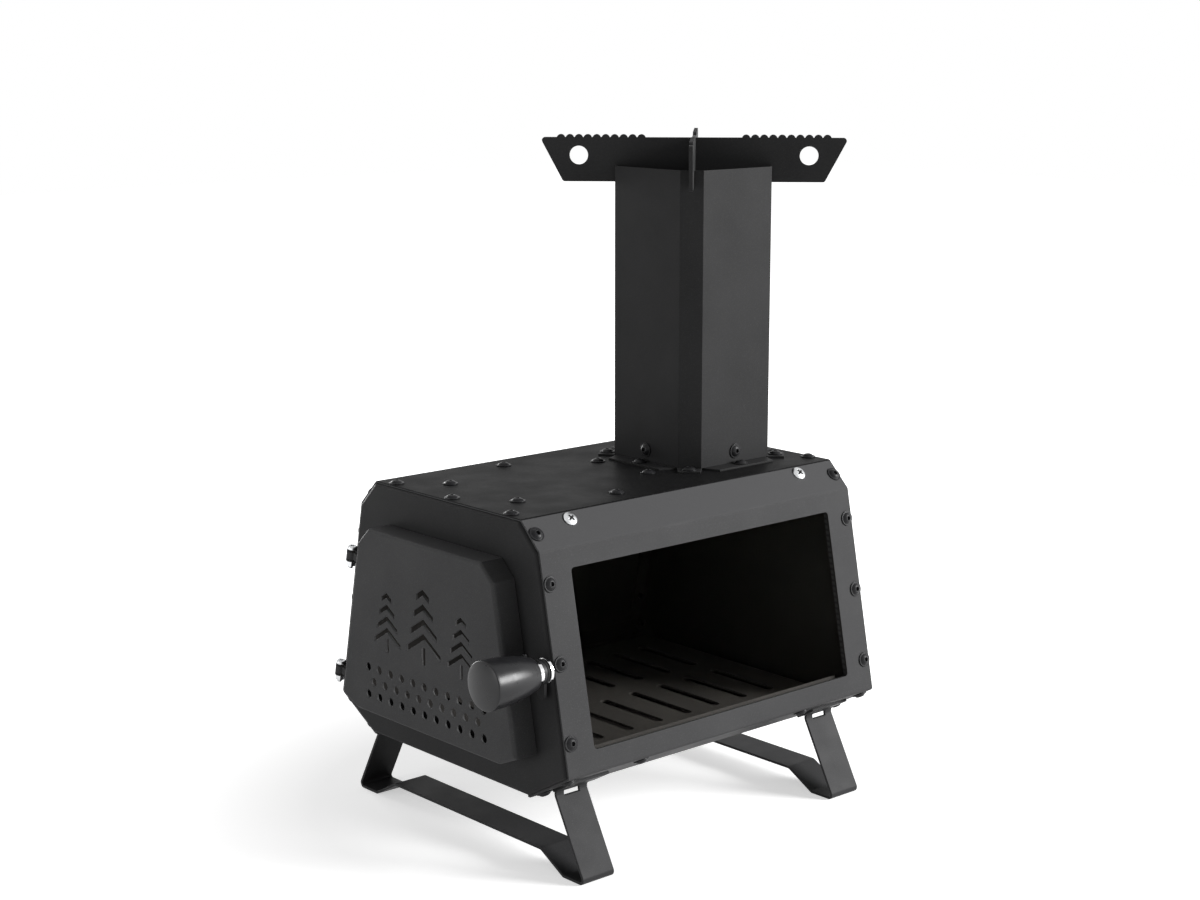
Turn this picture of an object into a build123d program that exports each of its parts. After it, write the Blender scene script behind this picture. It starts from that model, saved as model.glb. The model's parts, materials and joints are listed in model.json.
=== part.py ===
"""A camping wood stove: an eight-sided folded steel firebox on two strap legs.

The firebox lies along X. Its door end faces -X, its window faces -Y and the
chimney stands near the +X end with a lift-off pot rack on top. The origin is
on the ground, in the middle of the footprint, with +Z up. Millimetres.
"""
import os
from math import atan2, cos, hypot, sin, sqrt, tan

from build123d import *

os.makedirs("parts", exist_ok=True)

# Firebox: the eight-sided section, as half widths and heights above its floor
body_length = 330.0
body_height = 208.0
top_half = 88.5
shoulder_half = 109.0
shoulder_up = 187.5
waist_half = 141.0
waist_up = 25.0
base_half = 97.0

# Sheet metal
sheet = 1.5
end_sheet = 1.5
bend = 2.5
reveal = 2.0
flange_depth = 15.0
seam_gap = 0.15
corner_notch = 5.0

# Legs
leg_height = 60.0
strap_width = 30.0
strap = 2.0
strap_bend = 4.0
foot_margin = 1.3
foot_length = 25.8
run_up = 14.0
run_inset = 25.5
tee_width = 40.0
tee_clear = 1.1
tee_shift = 3.5
tee_length = 19.5
tee_up = 11.5
leg_slot_width = 15.0
leg_slot_height = 4.0
leg_screw_pitch = 26.0
leg_screw_up = 24.0
leg_screw = 4.0
leg_screw_head = 8.0
leg_screw_length = 6.0
leg_screw_socket = 2.0
leg_screw_socket_depth = 1.0
base_flange_up = 18.0

# Window in the front wall: what is left of the wall around it
window_end_margin = 29.0
window_low_margin = 16.5
window_top_margin = 15.6
window_corner = 3.0
glass = 4.0
glass_overlap = 7.0
gasket = 3.5
gasket_width = 5.5
gasket_inset = 0.5

# Folded strips that hold the glass, and their screws
upper_screw_spread = 242.0
upper_screw_below_top = 7.5
lower_screw_spread = 172.0
lower_screw_below_waist = 9.0
upper_strip_end = 10.0
lower_strip_end = 45.0
retainer_lap = 8.0
retainer_clear = 1.0
upper_strip_seat = 8.5
lower_strip_seat = 3.5
lower_strip_width = 9.5

# Door: its own eight-sided outline, set in from the firebox's
door_depth = 21.0
door_gap = 0.3
door_top_inset = 19.0
door_top_margin = 31.5
door_shoulder_drop = 13.0
door_side_margin = 30.4
door_waist_up = 37.0
door_base_inset = 8.5
door_base_up = 28.5
door_lap = 9.0
vent_hole = 7.0
vent_pitch = 14.4
vent_row_rise = 11.0
vent_up = 55.0
vent_count = 11

# Tree cut-outs in the door: chevron tiers over a trunk
trees_up = 83.0
tree_pitch = 46.0
side_tree_scale = 0.8
tree_tiers = 4
tier_rise = 11.5
tier_slope = 0.62
tier_band = 5.0
lowest_tier_peak = 25.0
top_tier_half = 8.0
tier_growth = 4.4
trunk_width = 4.6
trunk_height = 14.0

# Hinges
hinge_inset = 5.0
hinge_standoff = 6.4
hinge_low_up = 48.0
hinge_high_up = 146.0
knuckle = 8.0
ear = 1.9
eye_height = 6.0
eye_play = 0.15
bolt = 4.0
running = 0.05
leaf = 2.0
leaf_height = 10.0
leaf_foot = 11.0
leaf_clear = 2.0
bracket_foot = 8.5
pan_head = 8.0
pan_head_height = 2.4
pan_head_round = 1.1
recess_length = 4.0
recess_width = 1.0
recess_depth = 1.2
nut_across = 7.0
nut_height = 4.0
bolt_tail = 2.2

# Latch and knob, measured outwards from the door end
knob_inset = 7.7
knob_up = 102.5
shaft = 5.0
base_ring_start = 0.3
base_ring = 2.2
cam = 2.5
cam_reach = 20.5
cam_tip = 8.0
spacer_end = 9.0
neck_ring = 4.5
ring_diameter = 19.2
grip_length = 43.0
grip_diameter = 36.6
grip_dome = 3.0
grip_neck = 21.0
grip_edge = 2.5
grip_bore = 18.0
clip = 1.0
clip_diameter = 7.8
cam_hub = 17.6
spacer_diameter = 17.0
keeper = 1.5
keeper_height = 14.0
keeper_reach = 4.0
keeper_start = 0.5
keeper_foot = 12.0

# Cooking top
cook_plate = 2.0
cook_plate_edge = 12.0
cook_screws = [(-127.0, 41.0), (-52.0, 68.0), (15.5, 30.0)]

# Chimney
chimney_end_margin = 73.5
chimney_width = 101.6
chimney_cut = 13.0
chimney_sheet = 1.5
chimney_top_up = 445.0
collar_fit = 0.2
collar_height = 30.0
collar_flange = 13.5
flange_splay = 68.0
corner_flange_splay = 86.0
corner_flange_extra = 2.0
flange_root = 6.0
collar_screw_out = 6.5
chimney_screw_up = 9.5

# Pot rack
rack_sheet = 3.0
rack_top_half = 122.0
rack_bottom_half = 103.3
rack_height = 35.3
rack_seat = 13.3
rack_play = 0.3
rack_hole = 15.0
rack_hole_tooth_count = 3
rack_hole_below_top = 14.3
tooth_count = 10
tooth_start = 41.9
tooth_pitch = 7.2
tooth_radius = 3.4
tooth_rise = 2.4
rack_corner = 2.5
lap_play = 0.1
rest_gap = 0.3

# Grate
grate_sheet = 2.0
grate_length = 280.0
grate_half = 105.0
grate_up = 22.0
grate_slot = 8.0
grate_slot_length = 70.0
grate_slots = 8
grate_slot_pitch = 31.0
grate_row_pitch = 90.0
grate_foot_half = 88.0

# Flanged button-head screws, and where they sit as shares of a wall's width
screw = 5.0
screw_head = 11.8
screw_flange = 0.9
screw_dome = 1.8
screw_dome_foot = 9.6
screw_dome_radius = 5.0
screw_crown = 4.4
screw_length = 7.0
screw_socket = 3.2
screw_socket_depth = 1.6
hole_play = 0.1
wall_shares = [0.155, 0.505, 0.855]
tuck_shares = [0.2, 0.79]
cook_edge_row = 70.0

# Worked out from the above
lean = atan2(waist_half - shoulder_half, shoulder_up - waist_up)
tuck = atan2(waist_half - base_half, waist_up)
lean_slope = (waist_half - shoulder_half) / (shoulder_up - waist_up)
wall_length = hypot(waist_half - shoulder_half, shoulder_up - waist_up)
shoulder_length = hypot(shoulder_half - top_half, body_height - shoulder_up)
tuck_length = hypot(waist_half - base_half, waist_up)
shell_length = body_length - 2 * reveal
end_inset = sheet + seam_gap
screw_column = shell_length / 2 - screw_head / 2 - hole_play
tee_middle = screw_column - screw_head / 2 - tee_clear - tee_width / 2
leg_spread = 2 * (tee_middle + tee_shift)
foot_out = waist_half + foot_margin
foot_in = foot_out - foot_length
run_half = foot_in - run_inset
neck_ring_end = spacer_end + neck_ring
knob_reach = neck_ring_end + grip_length + grip_dome
window_width = body_length - 2 * window_end_margin
window_height = wall_length - window_low_margin - window_top_margin
upper_strip_length = upper_screw_spread + 2 * upper_strip_end
lower_strip_length = lower_screw_spread + 2 * lower_strip_end
chimney_from_middle = body_length / 2 - chimney_end_margin
rack_reach = (rack_top_half + rack_sheet / 2) / sqrt(2)
middle = (body_length / 2 + knob_reach - chimney_from_middle - rack_reach) / 2
door_end = middle - body_length / 2
floor = leg_height
body_top = floor + body_height
chimney_x = middle + chimney_from_middle
chimney_top = floor + chimney_top_up
screw_hole = screw / 2 + hole_play
door_top_half = top_half - door_top_inset
door_top_up = body_height - door_top_margin
door_shoulder_up = door_top_up - door_shoulder_drop
door_base_half = base_half - door_base_inset
flue_corner_out = (chimney_width - chimney_cut) / sqrt(2)
past = 3 * sheet


def body_half(up):
    """Half width of the firebox at a height above its floor, between waist and shoulder."""
    return waist_half - lean_slope * (up - waist_up)


def door_half(up):
    """Half width of the door at a height above the floor, between its waist and shoulder."""
    return body_half(up) - door_side_margin


knob_side = body_half(knob_up) - knob_inset


def eight_sided(half, inset):
    """Add an outline given by its +Y half, moved in by inset, to the sketch in hand."""
    outline = half + [(-y, z) for y, z in reversed(half)]
    with BuildSketch(mode=Mode.PRIVATE) as eight_sides:
        with BuildLine():
            Polyline(outline, close=True)
        make_face()
        if inset:
            offset(amount=-inset, kind=Kind.INTERSECTION)
    add(eight_sides.sketch)


def body_section(inset=0.0):
    """The firebox's section, for a sketch on a YZ plane."""
    half = [
        (base_half, floor),
        (waist_half, floor + waist_up),
        (shoulder_half, floor + shoulder_up),
        (top_half, body_top),
    ]
    eight_sided(half, inset)


def door_outline(inset=0.0):
    """The door's outline, for a sketch on a YZ plane."""
    half = [
        (door_base_half, floor + door_base_up),
        (door_half(door_waist_up), floor + door_waist_up),
        (door_half(door_shoulder_up), floor + door_shoulder_up),
        (door_top_half, floor + door_top_up),
    ]
    eight_sided(half, inset)


def flue_outline(inset=0.0):
    """The chimney's square section with cut corners, for a sketch on an XY plane."""
    with BuildSketch(mode=Mode.PRIVATE) as flue:
        with Locations((chimney_x, 0)):
            Rectangle(chimney_width, chimney_width)
        chamfer(flue.vertices(), chimney_cut)
        if inset:
            offset(amount=-inset, kind=Kind.INTERSECTION)
    add(flue.sketch)


def wall_plane(side):
    """Outside of a sloped wall: Y runs up the wall from the waist fold, Z points out."""
    return Plane(
        origin=(middle, side * waist_half, floor + waist_up),
        x_dir=(-side, 0, 0),
        z_dir=(0, side * cos(lean), sin(lean)),
    )


def shoulder_plane(side):
    """Outside of an upper chamfer: Y runs up from the shoulder fold, Z points out."""
    return Plane(
        origin=(middle, side * shoulder_half, floor + shoulder_up),
        x_dir=(-side, 0, 0),
        z_dir=(0, side * (body_height - shoulder_up), shoulder_half - top_half),
    )


def tuck_plane(side):
    """Outside of a lower chamfer: -Y runs down from the waist fold, Z points out."""
    return Plane(
        origin=(middle, side * waist_half, floor + waist_up),
        x_dir=(-side, 0, 0),
        z_dir=(0, side * cos(tuck), -sin(tuck)),
    )


def seats(plane, spots):
    """Locations on a plane, one for each (across, along) pair."""
    return [plane.location * Location((u, v, 0)) for u, v in spots]


def section_point(plane, along, out):
    """The (y, z) of a point on a plane's middle line, for a sketch on a YZ plane."""
    point = plane.from_local_coords((0, along, out))
    return (point.Y, point.Z)


front_wall = wall_plane(-1)
front_shoulder = shoulder_plane(-1)
front_tuck = tuck_plane(-1)
cooktop = Plane.XY.offset(body_top)
door_face = Plane(origin=(door_end, 0, floor), x_dir=(0, -1, 0), z_dir=(-1, 0, 0))
knob_axis = Plane(
    origin=(door_end, -knob_side, floor + knob_up), x_dir=(0, -1, 0), z_dir=(-1, 0, 0)
)
knob_half = Plane(
    origin=(door_end, -knob_side, floor + knob_up), x_dir=(0, -1, 0), z_dir=(0, 0, -1)
)
hinge_planes = [
    Plane(
        origin=(door_end - hinge_standoff, body_half(up) - hinge_inset, floor + up),
        x_dir=(1, 0, 0),
        z_dir=(0, -sin(lean), cos(lean)),
    )
    for up in (hinge_low_up, hinge_high_up)
]

# Where each screw sits
end_columns = [-screw_column, screw_column]
wall_steps = [share * wall_length for share in wall_shares]
tuck_steps = [-share * tuck_length for share in tuck_shares]


def end_screw_seats(side):
    """The screws that hold one long side to the flanges of both end plates."""
    return (
        seats(wall_plane(side), [(u, v) for u in end_columns for v in wall_steps])
        + seats(shoulder_plane(side), [(u, shoulder_length / 2) for u in end_columns])
        + seats(tuck_plane(side), [(u, v) for u in end_columns for v in tuck_steps])
    )


def leg_screw_seats(side):
    """The countersunk screws through the feet of both legs on one side."""
    down = leg_screw_up - tuck_length
    across = [
        end * tee_middle + half * leg_screw_pitch / 2 for end in (-1, 1) for half in (-1, 1)
    ]
    return seats(tuck_plane(side), [(u, down) for u in across])


top_row = [-cook_edge_row, 0.0, cook_edge_row]
top_spots = [(middle + u, v) for u in end_columns for v in top_row]
collar_spot = (middle + screw_column, 0.0)
top_seats = seats(cooktop, [spot for spot in top_spots if spot != collar_spot])
upper_screw_along = shoulder_length - upper_screw_below_top
upper_glass_seats = seats(
    front_shoulder, [(side * upper_screw_spread / 2, upper_screw_along) for side in (-1, 1)]
)
lower_glass_seats = seats(
    front_tuck, [(side * lower_screw_spread / 2, -lower_screw_below_waist) for side in (-1, 1)]
)
cook_seats = seats(cooktop, [(middle + x, side * y) for x, y in cook_screws for side in (-1, 1)])
collar_top = Plane.XY.offset(body_top + sheet)
collar_main = [
    Location((chimney_x, 0, body_top + sheet), (0, 0, turn)) for turn in (0, 90, 180, 270)
]
collar_corner = [
    Location((chimney_x, 0, body_top + sheet), (0, 0, turn)) for turn in (45, 135, 225, 315)
]
main_out = chimney_width / 2 + collar_screw_out
corner_out = flue_corner_out + collar_screw_out
collar_seats = [place * Location((main_out, 0, 0)) for place in collar_main] + [
    place * Location((corner_out, 0, 0)) for place in collar_corner
]
chimney_screw_z = body_top + sheet + chimney_screw_up
chimney_seats = [
    Location((chimney_x, 0, chimney_screw_z), (0, 0, turn))
    * Location((chimney_width / 2, 0, 0), (0, 90, 0))
    for turn in (0, 90, 180, 270)
]


# Flanged button-head screw, seated on the XY plane with its head above
with BuildPart() as button_screw:
    with BuildSketch(Plane.XZ):
        with BuildLine():
            RadiusArc(
                (screw_dome_foot / 2, screw_flange),
                (screw_crown / 2, screw_flange + screw_dome),
                -screw_dome_radius,
            )
            Polyline(
                (screw_crown / 2, screw_flange + screw_dome),
                (0, screw_flange + screw_dome),
                (0, -screw_length),
                (screw / 2, -screw_length),
                (screw / 2, 0),
                (screw_head / 2, 0),
                (screw_head / 2, screw_flange),
                (screw_dome_foot / 2, screw_flange),
            )
        make_face()
    revolve(axis=Axis.Z)
    with BuildSketch(Plane.XY.offset(screw_flange + screw_dome)):
        RegularPolygon(screw_socket / 2, 6, major_radius=False)
    extrude(amount=-screw_socket_depth, mode=Mode.SUBTRACT)

# Bright pan-head screw with a cross recess
with BuildPart() as pan_screw:
    Cylinder(pan_head / 2, pan_head_height, align=(Align.CENTER, Align.CENTER, Align.MIN))
    fillet(pan_screw.faces().sort_by(Axis.Z)[-1].edges(), pan_head_round)
    Cylinder(bolt / 2, screw_length, align=(Align.CENTER, Align.CENTER, Align.MAX))
    with BuildSketch(Plane.XY.offset(pan_head_height)):
        Rectangle(recess_length, recess_width)
        Rectangle(recess_width, recess_length)
    extrude(amount=-recess_depth, mode=Mode.SUBTRACT)

# Countersunk leg screw, its head filling the strap's thickness
with BuildPart() as leg_screw_one:
    with Locations((0, 0, strap / 2)):
        Cone(leg_screw / 2, leg_screw_head / 2, strap)
    Cylinder(leg_screw / 2, leg_screw_length, align=(Align.CENTER, Align.CENTER, Align.MAX))
    with BuildSketch(Plane.XY.offset(strap)):
        RegularPolygon(leg_screw_socket / 2, 6, major_radius=False)
    extrude(amount=-leg_screw_socket_depth, mode=Mode.SUBTRACT)


# Firebox shell: one sheet folded over the top and tucked under both sides
with BuildPart() as outer_shell:
    with BuildSketch(Plane.YZ.offset(middle - shell_length / 2)) as shell_sketch:
        body_section()
        fillet(shell_sketch.vertices(), bend)
    extrude(amount=shell_length)
    with BuildSketch(Plane.YZ.offset(middle - shell_length / 2)) as hollow_sketch:
        body_section(sheet)
        fillet(hollow_sketch.vertices(), bend - sheet)
    extrude(amount=shell_length, mode=Mode.SUBTRACT)
    with BuildSketch(Plane.YZ.offset(middle - shell_length / 2)):
        with Locations((0, floor)):
            Rectangle(2 * base_half - 2 * bend, 2 * past)
    extrude(amount=shell_length, mode=Mode.SUBTRACT)
    with BuildSketch(front_wall):
        with Locations((0, window_low_margin + window_height / 2)):
            RectangleRounded(window_width, window_height, window_corner)
    extrude(amount=-past, mode=Mode.SUBTRACT)
    with BuildSketch(cooktop):
        flue_outline(chimney_sheet + collar_fit + sheet)
    extrude(amount=-past, mode=Mode.SUBTRACT)
    shell_holes = end_screw_seats(-1) + end_screw_seats(1) + top_seats + cook_seats
    with Locations(*shell_holes, *upper_glass_seats, *lower_glass_seats, *collar_seats):
        Cylinder(screw_hole, 2 * past, mode=Mode.SUBTRACT)
    with Locations(*leg_screw_seats(-1), *leg_screw_seats(1)):
        Cylinder(leg_screw / 2 + hole_play, 2 * past, mode=Mode.SUBTRACT)
outer_shell.part.label = "outer_shell"
export_step(outer_shell.part, "parts/outer_shell.step")


# Base pan: lies inside the shell between the two end plates
base_pan_half = body_length / 2 - flange_depth - rest_gap
with BuildPart() as base_pan:
    with BuildSketch(Plane.YZ.offset(middle - base_pan_half)) as base_sketch:
        body_section(sheet)
        fillet(base_sketch.vertices(), bend)
    extrude(amount=2 * base_pan_half)
    with BuildSketch(Plane.YZ.offset(middle - base_pan_half)):
        body_section(2 * sheet)
    extrude(amount=2 * base_pan_half, mode=Mode.SUBTRACT)
    with BuildSketch(Plane.YZ.offset(middle - base_pan_half)):
        with Locations((0, floor + base_flange_up)):
            Rectangle(
                2 * waist_half, body_height, align=(Align.CENTER, Align.MIN)
            )
    extrude(amount=2 * base_pan_half, mode=Mode.SUBTRACT)
    with Locations(*leg_screw_seats(-1), *leg_screw_seats(1)):
        Cylinder(leg_screw / 2 + hole_play, 2 * past, mode=Mode.SUBTRACT)
base_pan.part.label = "base_pan"
export_step(base_pan.part, "parts/base_pan.step")


# End plates: folded pans whose flanges slip inside the shell
section_corners = [
    (side * y, z)
    for side in (-1, 1)
    for y, z in (
        (base_half, floor + end_inset),
        (waist_half - end_inset, floor + waist_up),
        (shoulder_half - end_inset, floor + shoulder_up - end_inset / 2),
        (top_half, body_top - end_inset),
    )
]
with BuildPart() as end_blank:
    with BuildSketch(Plane.YZ.offset(door_end)):
        body_section(end_inset)
    extrude(amount=flange_depth)
    fillet(end_blank.faces().sort_by(Axis.X)[0].edges(), bend)
    offset(amount=-end_sheet, openings=end_blank.faces().sort_by(Axis.X)[-1])
    with BuildSketch(Plane.YZ.offset(door_end + bend)):
        with Locations(*section_corners):
            Rectangle(corner_notch, corner_notch)
    extrude(amount=flange_depth, mode=Mode.SUBTRACT)
    door_end_columns = [seat for seat in shell_holes if seat.position.X < middle]
    with Locations(*door_end_columns):
        Cylinder(screw_hole, 3 * past, mode=Mode.SUBTRACT)

with BuildPart() as door_end_plate:
    add(end_blank.part)
    with BuildSketch(Plane.YZ.offset(door_end - sheet)):
        door_outline(door_lap)
    extrude(amount=past, mode=Mode.SUBTRACT)
    with Locations(knob_axis.location):
        Cylinder(shaft / 2 + running, 2 * past, mode=Mode.SUBTRACT)
door_end_plate.part.label = "door_end_plate"
export_step(door_end_plate.part, "parts/door_end_plate.step")

with BuildPart() as back_end_plate:
    add(end_blank.part)
    mirror(about=Plane.YZ.offset(middle), mode=Mode.REPLACE)
    with Locations(collar_seats[0]):
        Cylinder(screw_hole, 3 * past, mode=Mode.SUBTRACT)
back_end_plate.part.label = "back_end_plate"
export_step(back_end_plate.part, "parts/back_end_plate.step")


# Window: gasket, glass and the two folded strips that press it to the wall
window_middle = window_low_margin + window_height / 2
with BuildPart() as window_gasket:
    with BuildSketch(front_wall.offset(-sheet)):
        with Locations((0, window_middle)):
            Rectangle(window_width + 2 * gasket_width, window_height + 2 * gasket_width)
            Rectangle(
                window_width + 2 * gasket_inset, window_height + 2 * gasket_inset,
                mode=Mode.SUBTRACT,
            )
    extrude(amount=-gasket)
window_gasket.part.label = "window_gasket"
export_step(window_gasket.part, "parts/window_gasket.step")

with BuildPart() as window_glass:
    with BuildSketch(front_wall.offset(-sheet - gasket)):
        with Locations((0, window_middle)):
            Rectangle(window_width + 2 * glass_overlap, window_height + 2 * glass_overlap)
    extrude(amount=-glass)
window_glass.part.label = "window_glass"
export_step(window_glass.part, "parts/window_glass.step")

glass_back = -(sheet + gasket + glass)
glass_top = window_low_margin + window_height + glass_overlap
glass_bottom = window_low_margin - glass_overlap
with BuildPart() as glass_retainer_upper:
    with BuildSketch(Plane.YZ.offset(middle - upper_strip_length / 2)):
        with BuildLine():
            Polyline(
                section_point(front_shoulder, shoulder_length - bend, -sheet),
                section_point(front_shoulder, upper_strip_seat, -sheet),
                section_point(front_wall, glass_top + retainer_clear, glass_back),
                section_point(front_wall, glass_top - retainer_lap, glass_back),
            )
            offset(amount=sheet, side=Side.LEFT)
        make_face()
    extrude(amount=upper_strip_length)
    with Locations(*upper_glass_seats):
        Cylinder(bolt / 2 + hole_play, 3 * past, mode=Mode.SUBTRACT)
glass_retainer_upper.part.label = "glass_retainer_upper"
export_step(glass_retainer_upper.part, "parts/glass_retainer_upper.step")

with BuildPart() as glass_retainer_lower:
    with BuildSketch(Plane.YZ.offset(middle - lower_strip_length / 2)):
        with BuildLine():
            Polyline(
                section_point(front_wall, glass_bottom + retainer_lap, glass_back),
                section_point(front_wall, glass_bottom - retainer_clear, glass_back),
                section_point(front_tuck, -lower_strip_seat, -sheet),
                section_point(front_tuck, -lower_strip_seat - lower_strip_width, -sheet),
            )
            offset(amount=sheet, side=Side.LEFT)
        make_face()
    extrude(amount=lower_strip_length)
    with Locations(*lower_glass_seats):
        Cylinder(screw_hole, 4 * screw_length, mode=Mode.SUBTRACT)
glass_retainer_lower.part.label = "glass_retainer_lower"
export_step(glass_retainer_lower.part, "parts/glass_retainer_lower.step")


# Plate that stiffens the cooking top from below
with BuildPart() as cooktop_plate:
    with BuildSketch(Plane.XY.offset(body_top - sheet)):
        half_outline = [(middle + x, y) for x, y in cook_screws]
        with BuildLine():
            Polyline(half_outline + [(x, -y) for x, y in reversed(half_outline)], close=True)
        make_face()
        offset(amount=cook_plate_edge)
    extrude(amount=-cook_plate)
    with Locations(*cook_seats):
        Cylinder(screw_hole, 3 * past, mode=Mode.SUBTRACT)
cooktop_plate.part.label = "cooktop_plate"
export_step(cooktop_plate.part, "parts/cooktop_plate.step")


# Fire grate: slotted plate whose ends turn down onto the base pan
with BuildPart() as fire_grate:
    with Locations((middle, 0, floor + grate_up)):
        Box(
            grate_length, 2 * grate_half, grate_sheet,
            align=(Align.CENTER, Align.CENTER, Align.MAX),
        )
    for end in (-1, 1):
        with Locations((middle + end * (grate_length - grate_sheet) / 2, 0, floor + 2 * sheet)):
            Box(
                grate_sheet, 2 * grate_foot_half, grate_up - 2 * sheet,
                align=(Align.CENTER, Align.CENTER, Align.MIN),
            )
    with BuildSketch(Plane.XY.offset(floor + grate_up)):
        with Locations((middle, 0)):
            with GridLocations(grate_slot_pitch, grate_row_pitch, grate_slots, 2):
                SlotOverall(grate_slot_length, grate_slot, rotation=90)
    extrude(amount=-grate_sheet, mode=Mode.SUBTRACT)
fire_grate.part.label = "fire_grate"
export_step(fire_grate.part, "parts/fire_grate.step")


# Flue collar: a spigot with eight bevelled flanges screwed to the top
with BuildPart() as flue_collar:
    with BuildSketch(cooktop):
        flue_outline(chimney_sheet + collar_fit)
    extrude(amount=collar_height)
    for turn in (0, 90, 180, 270):
        main = cooktop.location * Location((chimney_x, 0, 0), (0, 0, turn))
        with BuildSketch(Plane(main)):
            with Locations((chimney_width / 2 - flange_root, 0)):
                Trapezoid(
                    chimney_width - 2 * chimney_cut, collar_flange + flange_root, flange_splay,
                    rotation=-90, align=(Align.CENTER, Align.MIN),
                )
        extrude(amount=sheet)
        corner = cooktop.location * Location((chimney_x, 0, 0), (0, 0, turn + 45))
        with BuildSketch(Plane(corner)):
            with Locations((flue_corner_out - flange_root, 0)):
                Trapezoid(
                    chimney_cut * sqrt(2) + corner_flange_extra, collar_flange + flange_root,
                    corner_flange_splay, rotation=-90, align=(Align.CENTER, Align.MIN),
                )
        extrude(amount=sheet)
    with BuildSketch(cooktop):
        flue_outline(chimney_sheet + collar_fit + sheet)
    extrude(amount=collar_height, mode=Mode.SUBTRACT)
    with Locations(*collar_seats, *chimney_seats):
        Cylinder(screw_hole, 2 * past, mode=Mode.SUBTRACT)
flue_collar.part.label = "flue_collar"
export_step(flue_collar.part, "parts/flue_collar.step")


# Chimney: slips over the collar; four slots at the top seat the pot rack
with BuildPart() as chimney:
    with BuildSketch(collar_top):
        flue_outline()
    extrude(amount=chimney_top - body_top - sheet)
    with BuildSketch(collar_top):
        flue_outline(chimney_sheet)
    extrude(amount=chimney_top - body_top - sheet, mode=Mode.SUBTRACT)
    with BuildSketch(Plane.XY.offset(chimney_top)):
        with Locations((chimney_x, 0)):
            Rectangle(2 * chimney_width, rack_sheet + 2 * rack_play, rotation=45)
            Rectangle(2 * chimney_width, rack_sheet + 2 * rack_play, rotation=-45)
    extrude(amount=-rack_seat, mode=Mode.SUBTRACT)
    with Locations(*chimney_seats):
        Cylinder(screw_hole, 2 * past, mode=Mode.SUBTRACT)
chimney.part.label = "chimney"
export_step(chimney.part, "parts/chimney.step")


# Pot rack: two toothed plates that halve into each other on the diagonals
rack_foot = chimney_top - rack_seat + rest_gap
rack_lean = atan2(rack_height, rack_top_half - rack_bottom_half)
rack_corner_half = rack_top_half - rack_corner + rack_corner / tan(rack_lean / 2)
rack_foot_half = rack_corner_half - rack_height / tan(rack_lean)
rack_planes = {
    "rack_plate_long": Plane((chimney_x, 0, rack_foot), (1, -1, 0), (-1, -1, 0)),
    "rack_plate_cross": Plane((chimney_x, 0, rack_foot), (1, 1, 0), (1, -1, 0)),
}
lap_sides = {"rack_plate_long": Align.MIN, "rack_plate_cross": Align.MAX}
tooth_outs = [tooth_start + i * tooth_pitch for i in range(tooth_count)]
for name, plane in rack_planes.items():
    with BuildPart() as rack_plate:
        with BuildSketch(plane.offset(-rack_sheet / 2)) as rack_sketch:
            with BuildLine():
                Polyline(
                    (-rack_foot_half, 0), (rack_foot_half, 0),
                    (rack_corner_half, rack_height), (-rack_corner_half, rack_height),
                    close=True,
                )
            make_face()
            fillet(rack_sketch.vertices(), rack_corner)
            tooth_height = rack_height + tooth_rise - tooth_radius
            with Locations(*[(side * t, tooth_height) for side in (-1, 1) for t in tooth_outs]):
                Circle(tooth_radius)
            hole_height = rack_height - rack_hole_below_top
            hole_out = tooth_outs[-rack_hole_tooth_count]
            with Locations((-hole_out, hole_height), (hole_out, hole_height)):
                Circle(rack_hole / 2, mode=Mode.SUBTRACT)
            with Locations((0, rack_height / 2)):
                Rectangle(
                    rack_sheet + 2 * lap_play, rack_height,
                    align=(Align.CENTER, lap_sides[name]), mode=Mode.SUBTRACT,
                )
        extrude(amount=rack_sheet)
    rack_plate.part.label = name
    export_step(rack_plate.part, f"parts/{name}.step")


# Legs: a strap bent into two feet and a low run, with a tee on each lower chamfer
arm_down = tee_up - tuck_length
arm_top = section_point(tuck_plane(1), arm_down, strap)
for name, end in (("door_end_leg", -1), ("back_end_leg", 1)):
    leg_x = middle + end * leg_spread / 2
    with BuildPart() as leg:
        front = [
            section_point(front_tuck, arm_down + tee_length, strap),
            section_point(front_tuck, arm_down, strap),
            (-foot_out, 0),
            (-foot_in, 0),
            (-run_half, run_up),
        ]
        with BuildSketch(Plane.YZ.offset(leg_x - strap_width / 2)):
            with BuildLine():
                FilletPolyline(*front, *[(-y, z) for y, z in reversed(front)], radius=strap_bend)
                offset(amount=strap, side=Side.LEFT)
            make_face()
        extrude(amount=strap_width)
        for side in (-1, 1):
            with BuildSketch(tuck_plane(side)):
                with Locations((-side * end * tee_middle, arm_down)):
                    Rectangle(tee_width, tee_length, align=(Align.CENTER, Align.MIN))
            extrude(amount=strap)
            with Locations((leg_x, side * (arm_top[0] + strap), arm_top[1])):
                Box(
                    leg_slot_width, 4 * past, leg_slot_height,
                    align=(Align.CENTER, Align.CENTER, Align.MAX), mode=Mode.SUBTRACT,
                )
            with Locations(*leg_screw_seats(side)):
                with Locations((0, 0, strap / 2)):
                    Cone(
                        leg_screw / 2 + hole_play, leg_screw_head / 2 + hole_play, strap,
                        mode=Mode.SUBTRACT,
                    )
    leg.part.label = name
    export_step(leg.part, f"parts/{name}.step")


# Screw groups
screw_groups = {
    "front_shell_screws": end_screw_seats(-1),
    "rear_shell_screws": end_screw_seats(1),
    "top_edge_screws": top_seats,
    "cooktop_screws": cook_seats,
    "collar_screws": collar_seats,
    "chimney_screws": chimney_seats,
    "lower_glass_screws": lower_glass_seats,
}
for name, places in screw_groups.items():
    with BuildPart() as screws:
        with Locations(*places):
            add(button_screw.part)
    screws.part.label = name
    export_step(screws.part, f"parts/{name}.step")

with BuildPart() as upper_glass_screws:
    with Locations(*upper_glass_seats):
        add(pan_screw.part)
upper_glass_screws.part.label = "upper_glass_screws"
export_step(upper_glass_screws.part, "parts/upper_glass_screws.step")

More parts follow.
